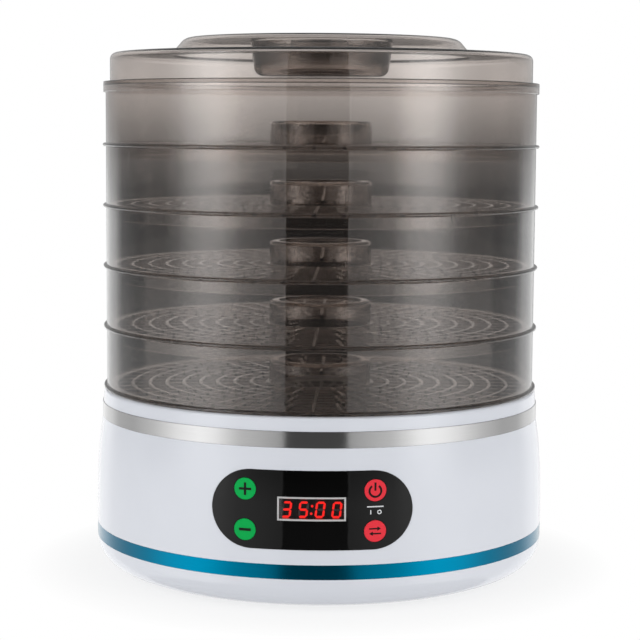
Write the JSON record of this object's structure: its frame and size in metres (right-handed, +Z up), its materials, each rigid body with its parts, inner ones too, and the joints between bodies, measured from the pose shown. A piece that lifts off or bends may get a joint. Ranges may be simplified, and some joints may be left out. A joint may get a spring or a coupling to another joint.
{
  "type": "food dehydrator",
  "caption": "Round electric food dehydrator: white barrel base with control panel, trim bands, fan and heater, a stack of clear smoke trays and a domed lid.",
  "frame": {"origin": "centre of the underside of the feet", "axes": "+Z up through the middle of the tray stack, -Y out of the control panel, +X to the right seen from the front"},
  "size_m": [0.285, 0.2853, 0.335],
  "materials": {
    "white_shell": "glossy injection-moulded shell, slightly cool white",
    "white_inner": "matt white moulding",
    "smoke": "clear smoke-grey polycarbonate",
    "blue_metal": "metallic blue plated trim",
    "steel": "fine brushing round the band",
    "screw_steel": "zinc plated",
    "panel_black": "piano black",
    "frame_white": "pale moulded frame",
    "lens": "dark red filter",
    "module_black": "black potted display",
    "holder": "pale moulding",
    "green_button": "green moulded cap",
    "red_button": "red moulded cap",
    "rubber": "black rubber",
    "green_board": "solder-masked board",
    "tan_board": "phenolic board",
    "switch": "black moulding",
    "duct_metal": "bare sheet",
    "mica": "mica sheet",
    "coil": "heat-stained resistance wire",
    "thermostat": "phenolic body",
    "fuse": "ceramic body",
    "motor": "dark painted can",
    "fan": "heat-resistant nylon",
    "transformer": "yellow wound core",
    "relay": "blue case",
    "capacitor": "sleeved can",
    "ribbon": "grey ribbon cable",
    "wire": "silicone insulation"
  },
  "bodies": {
    "base": {"base_shell": "white_shell", "bottom_plate": "white_inner", "rubber_feet": "rubber", "base_screws": "screw_steel", "blue_band": "blue_metal", "steel_band": "steel", "top_deck": "white_shell", "outlet_grille": "white_inner", "control_panel": "panel_black", "display_frame": "frame_white", "display_lens": "lens", "display_module": "module_black", "display_holder": "holder", "control_board": "green_board", "tact_switches": "switch", "board_screws": "screw_steel", "air_duct": "duct_metal", "duct_screws": "screw_steel", "heater_frame": "mica", "heater_coils": "coil", "thermostat": "thermostat", "thermal_fuse": "fuse", "temperature_sensor": "switch", "motor_bracket": "duct_metal", "bracket_screws": "screw_steel", "motor_housing": "motor", "power_board": "tan_board", "power_board_screws": "screw_steel", "transformer": "transformer", "relay": "relay", "smoothing_capacitor": "capacitor", "ribbon_cable": "ribbon", "wiring": "wire", "cord_gland": "rubber"},
    "fan": {"motor_shaft": "screw_steel", "fan_rotor": "fan"},
    "button_plus": {"button_plus": "green_button"},
    "button_minus": {"button_minus": "green_button"},
    "button_power": {"button_power": "red_button"},
    "button_mode": {"button_mode": "red_button"},
    "tray_1": {"tray_1_wall": "smoke", "tray_1_floor": "smoke", "tray_1_chimney": "smoke"},
    "tray_2": {"tray_2_wall": "smoke", "tray_2_floor": "smoke", "tray_2_chimney": "smoke"},
    "tray_3": {"tray_3_wall": "smoke", "tray_3_floor": "smoke", "tray_3_chimney": "smoke"},
    "tray_4": {"tray_4_wall": "smoke", "tray_4_floor": "smoke", "tray_4_chimney": "smoke"},
    "tray_5": {"tray_5_wall": "smoke", "tray_5_floor": "smoke", "tray_5_chimney": "smoke"},
    "lid": {"lid_rim": "smoke", "lid_ring": "smoke", "lid_dome": "smoke", "lid_grip": "smoke"}
  },
  "joints": [
    {"name": "fan_spin", "type": "hinge", "parent": "base", "child": "fan", "pos_m": [0, 0, 0.048], "axis": [0, 0, 1], "continuous": true},
    {"name": "press_plus", "type": "slide", "parent": "base", "child": "button_plus", "axis": [0, 1, 0], "range_m": [0, 0.0006], "stiffness_N_per_m": 1200, "springref_m": -0.0005},
    {"name": "press_minus", "type": "slide", "parent": "base", "child": "button_minus", "axis": [0, 1, 0], "range_m": [0, 0.0006], "stiffness_N_per_m": 1200, "springref_m": -0.0005},
    {"name": "press_power", "type": "slide", "parent": "base", "child": "button_power", "axis": [0, 1, 0], "range_m": [0, 0.0006], "stiffness_N_per_m": 1200, "springref_m": -0.0005},
    {"name": "press_mode", "type": "slide", "parent": "base", "child": "button_mode", "axis": [0, 1, 0], "range_m": [0, 0.0006], "stiffness_N_per_m": 1200, "springref_m": -0.0005},
    {"name": "lift_tray_1", "type": "slide", "parent": "base", "child": "tray_1", "axis": [0, 0, 1], "range_m": [0, 0.06]},
    {"name": "lift_tray_2", "type": "slide", "parent": "tray_1", "child": "tray_2", "axis": [0, 0, 1], "range_m": [0, 0.06]},
    {"name": "lift_tray_3", "type": "slide", "parent": "tray_2", "child": "tray_3", "axis": [0, 0, 1], "range_m": [0, 0.06]},
    {"name": "lift_tray_4", "type": "slide", "parent": "tray_3", "child": "tray_4", "axis": [0, 0, 1], "range_m": [0, 0.06]},
    {"name": "lift_tray_5", "type": "slide", "parent": "tray_4", "child": "tray_5", "axis": [0, 0, 1], "range_m": [0, 0.06]},
    {"name": "lift_lid", "type": "slide", "parent": "tray_5", "child": "lid", "axis": [0, 0, 1], "range_m": [0, 0.08]}
  ]
}
